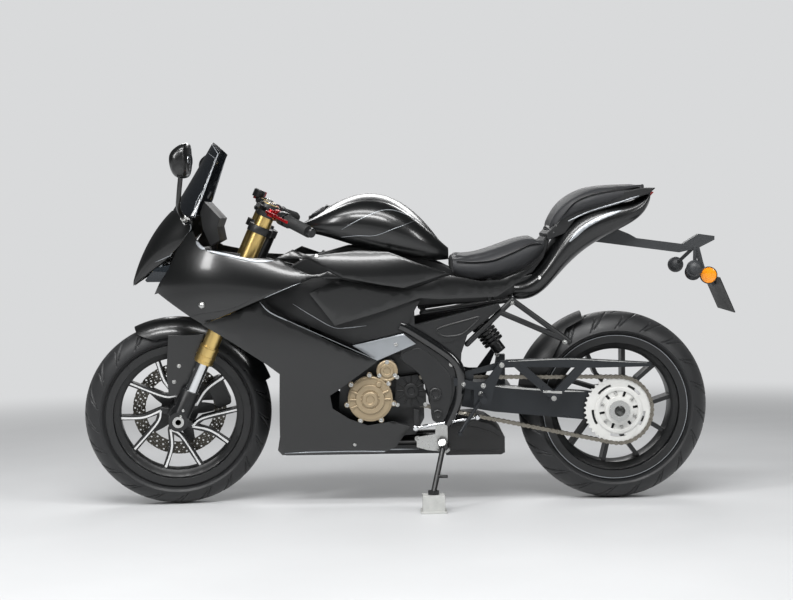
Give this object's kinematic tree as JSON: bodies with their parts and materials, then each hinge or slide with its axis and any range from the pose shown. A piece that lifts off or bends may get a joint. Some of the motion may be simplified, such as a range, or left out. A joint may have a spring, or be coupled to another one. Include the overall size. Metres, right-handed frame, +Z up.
{
  "type": "sport motorcycle",
  "caption": "Faired sport motorcycle leaning on its side stand, with turning wheels, steering that swings between its stops, a folding stand and an open chain drive.",
  "frame": {"origin": "centre of the hollow rear axle, on the wheel mid plane", "axes": "+X to the rear, +Y to the rider's right, +Z up from level ground; the bike leans five degrees to its left on its side stand"},
  "size_m": [2.0879, 0.7179, 1.1839],
  "materials": {
    "tyre": "matt black rubber",
    "rim_black": "satin black cast aluminium",
    "brake_steel": "ground steel",
    "axle_steel": "machined steel",
    "sprocket_white": "pale anodised",
    "fork_gold": "gold anodised",
    "chrome_tube": "hard chromed",
    "black_cast": "satin black cast aluminium",
    "grip_rubber": "moulded rubber",
    "lever_red": "red anodised",
    "body_black": "gloss black painted plastic",
    "brake_black": "hard anodised",
    "stand_black": "powder coated steel",
    "block_grey": "rough grey block",
    "engine_grey": "dark cast aluminium",
    "cover_bronze": "pale bronze paint",
    "trim_black": "grained black plastic",
    "exhaust_dark": "heat-proof dark paint",
    "radiator_black": "black painted fins",
    "frame_black": "satin black",
    "arm_grey": "dark grey satin",
    "shock_black": "powder coated spring",
    "chain_steel": "oiled steel",
    "screen_smoke": "smoked clear sheet",
    "trim_silver": "silver grey satin",
    "lamp_lens": "clear lens",
    "seat_cover": "black vinyl with seams",
    "lamp_red": "red lens",
    "plate_grey": "bare dark plate"
  },
  "bodies": {
    "chassis": {"stand_bracket": "black_cast", "stand_block": "block_grey", "engine_block": "engine_grey", "engine_covers": "cover_bronze", "sprocket_guard": "trim_black", "exhaust": "exhaust_dark", "radiator": "radiator_black", "main_frame": "frame_black", "swingarm": "arm_grey", "shock_absorber": "shock_black", "rear_hugger": "trim_black", "drive_chain": "chain_steel", "subframe": "frame_black", "footrests": "arm_grey", "nose_cowl": "body_black", "windscreen": "screen_smoke", "upper_fairings": "body_black", "lower_fairings": "body_black", "vent_panels": "trim_black", "tank_side_covers": "body_black", "side_panels": "trim_black", "trim_panels": "trim_silver", "headlights": "lamp_lens", "belly_pan": "trim_black", "fuel_tank": "body_black", "rider_seat": "seat_cover", "passenger_seat": "seat_cover", "tail_cowl": "body_black", "tail_lamp": "lamp_red", "plate_holder": "trim_black", "number_plate": "plate_grey", "mirrors": "trim_black", "instruments": "trim_black"},
    "steering": {"fork_tubes": "fork_gold", "stanchions": "chrome_tube", "fork_bottoms": "black_cast", "front_axle": "axle_steel", "triple_clamps": "black_cast", "handlebars": "black_cast", "grips": "grip_rubber", "levers": "lever_red", "front_fender": "body_black", "front_caliper": "brake_black"},
    "front_wheel": {"front_tyre": "tyre", "front_rim": "rim_black", "front_disc": "brake_steel"},
    "rear_wheel": {"rear_tyre": "tyre", "rear_rim": "rim_black", "rear_axle": "axle_steel", "rear_sprocket": "sprocket_white"},
    "side_stand": {"side_stand": "stand_black"}
  },
  "joints": [
    {"name": "steering", "type": "hinge", "parent": "chassis", "child": "steering", "pos_m": [-1.15547, -0.04281, 0.48927], "axis": [0.4147, -0.0793, 0.9065], "range_deg": [-36, 18]},
    {"name": "front_wheel_spin", "type": "hinge", "parent": "steering", "child": "front_wheel", "pos_m": [-1.41466, -0.00414, -0.00654], "axis": [-0.1423, 0.9783, 0.1507], "continuous": true},
    {"name": "rear_wheel_spin", "type": "hinge", "parent": "chassis", "child": "rear_wheel", "pos_m": [0, 0, 0], "axis": [0, 0.9962, 0.0872], "continuous": true},
    {"name": "side_stand", "type": "hinge", "parent": "chassis", "child": "side_stand", "pos_m": [-0.559, -0.15102, -0.10958], "axis": [-0.3282, -0.7502, 0.574], "range_deg": [0, 95]}
  ]
}
